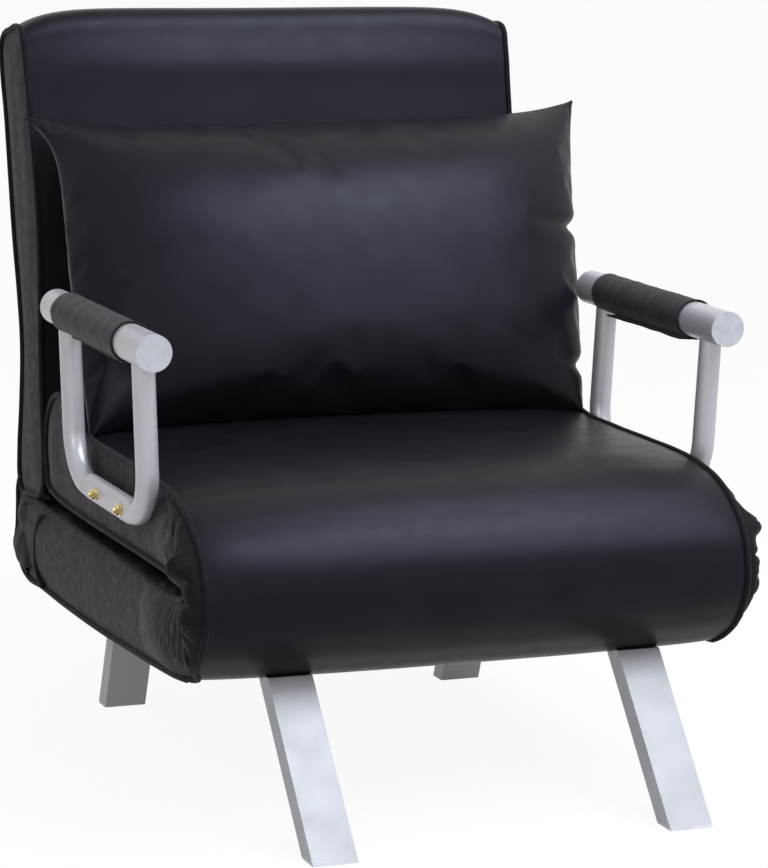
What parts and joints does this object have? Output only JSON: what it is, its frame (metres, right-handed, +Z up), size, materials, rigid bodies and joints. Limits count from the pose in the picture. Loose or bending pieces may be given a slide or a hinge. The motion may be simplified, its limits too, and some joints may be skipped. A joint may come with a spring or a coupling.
{
  "type": "folding chair bed",
  "caption": "Low armless-sided lounge chair on tubular steel that unfolds to a single bed: the back reclines and the seat with its arm hoops turns over forwards.",
  "frame": {"origin": "on the floor, on the chair's middle plane, under the middle of its depth", "axes": "+X to the right as seen from the front, the sitter looks along -Y, +Z up from the floor"},
  "size_m": [0.7142, 0.9027, 0.8282],
  "materials": {
    "frame_paint": "satin",
    "leather": "satin",
    "gusset": "matte",
    "pad_fabric": "matte",
    "foam": "matte",
    "webbing": "matte",
    "zinc": "satin",
    "black_plastic": "matte",
    "silver_plastic": "satin"
  },
  "bodies": {
    "base": {"base_frame": "frame_paint", "base_webbing": "webbing", "base_foam": "foam", "base_underpad": "foam", "base_cover": "leather", "front_leg_left": "frame_paint", "front_leg_right": "frame_paint", "rear_leg_left": "frame_paint", "rear_leg_right": "frame_paint", "leg_end_caps": "silver_plastic", "leg_bolts": "zinc", "fold_plate_lower_left": "frame_paint", "fold_plate_lower_right": "frame_paint", "fold_pins": "zinc", "recline_pins": "zinc", "ratchet_sector_left": "frame_paint", "ratchet_sector_right": "frame_paint", "front_fold": "leather", "rear_fold": "gusset"},
    "seat": {"seat_frame": "frame_paint", "seat_webbing": "webbing", "seat_foam": "foam", "seat_underpad": "foam", "seat_cover": "leather", "fold_plate_upper_left": "frame_paint", "fold_plate_upper_right": "frame_paint", "arm_loop_left": "frame_paint", "arm_loop_right": "frame_paint", "arm_grip_left": "frame_paint", "arm_grip_right": "frame_paint", "arm_pad_left": "pad_fabric", "arm_pad_right": "pad_fabric", "arm_end_caps": "silver_plastic", "arm_bolts": "zinc", "arm_nuts": "zinc", "arm_washers": "zinc", "arm_spacers": "black_plastic"},
    "back": {"back_frame": "frame_paint", "back_webbing": "webbing", "back_foam": "foam", "back_rear_pad": "foam", "back_cover": "leather", "recline_arm_left": "frame_paint", "recline_arm_right": "frame_paint", "pawl_pins": "zinc"},
    "pillow": {"pillow_cover": "leather", "pillow_fill": "foam"},
    "pawl_left": {"pawl_left": "zinc"},
    "pawl_right": {"pawl_right": "zinc"}
  },
  "joints": [
    {"name": "seat_fold", "type": "hinge", "parent": "base", "child": "seat", "pos_m": [0, -0.295, 0.2637], "axis": [1, 0, 0], "range_deg": [0, 179.9], "deforming": ["front_fold", "pillow_cover", "pillow_fill"]},
    {"name": "back_recline", "type": "hinge", "parent": "base", "child": "back", "pos_m": [0, 0.315, 0.19], "axis": [-1, 0, 0], "range_deg": [0, 80.2], "deforming": ["rear_fold"]},
    {"name": "pillow_slide", "type": "slide", "parent": "back", "child": "pillow", "axis": [0, 0.1702, 0.9854], "range_m": [0, 0.12]},
    {"name": "pawl_left_pivot", "type": "hinge", "parent": "back", "child": "pawl_left", "pos_m": [-0.289, 0.29816, 0.2335], "axis": [-1, 0, 0], "range_deg": [0, 10.5]},
    {"name": "pawl_right_pivot", "type": "hinge", "parent": "back", "child": "pawl_right", "pos_m": [0.289, 0.29816, 0.2335], "axis": [-1, 0, 0], "range_deg": [0, 10.5]}
  ]
}
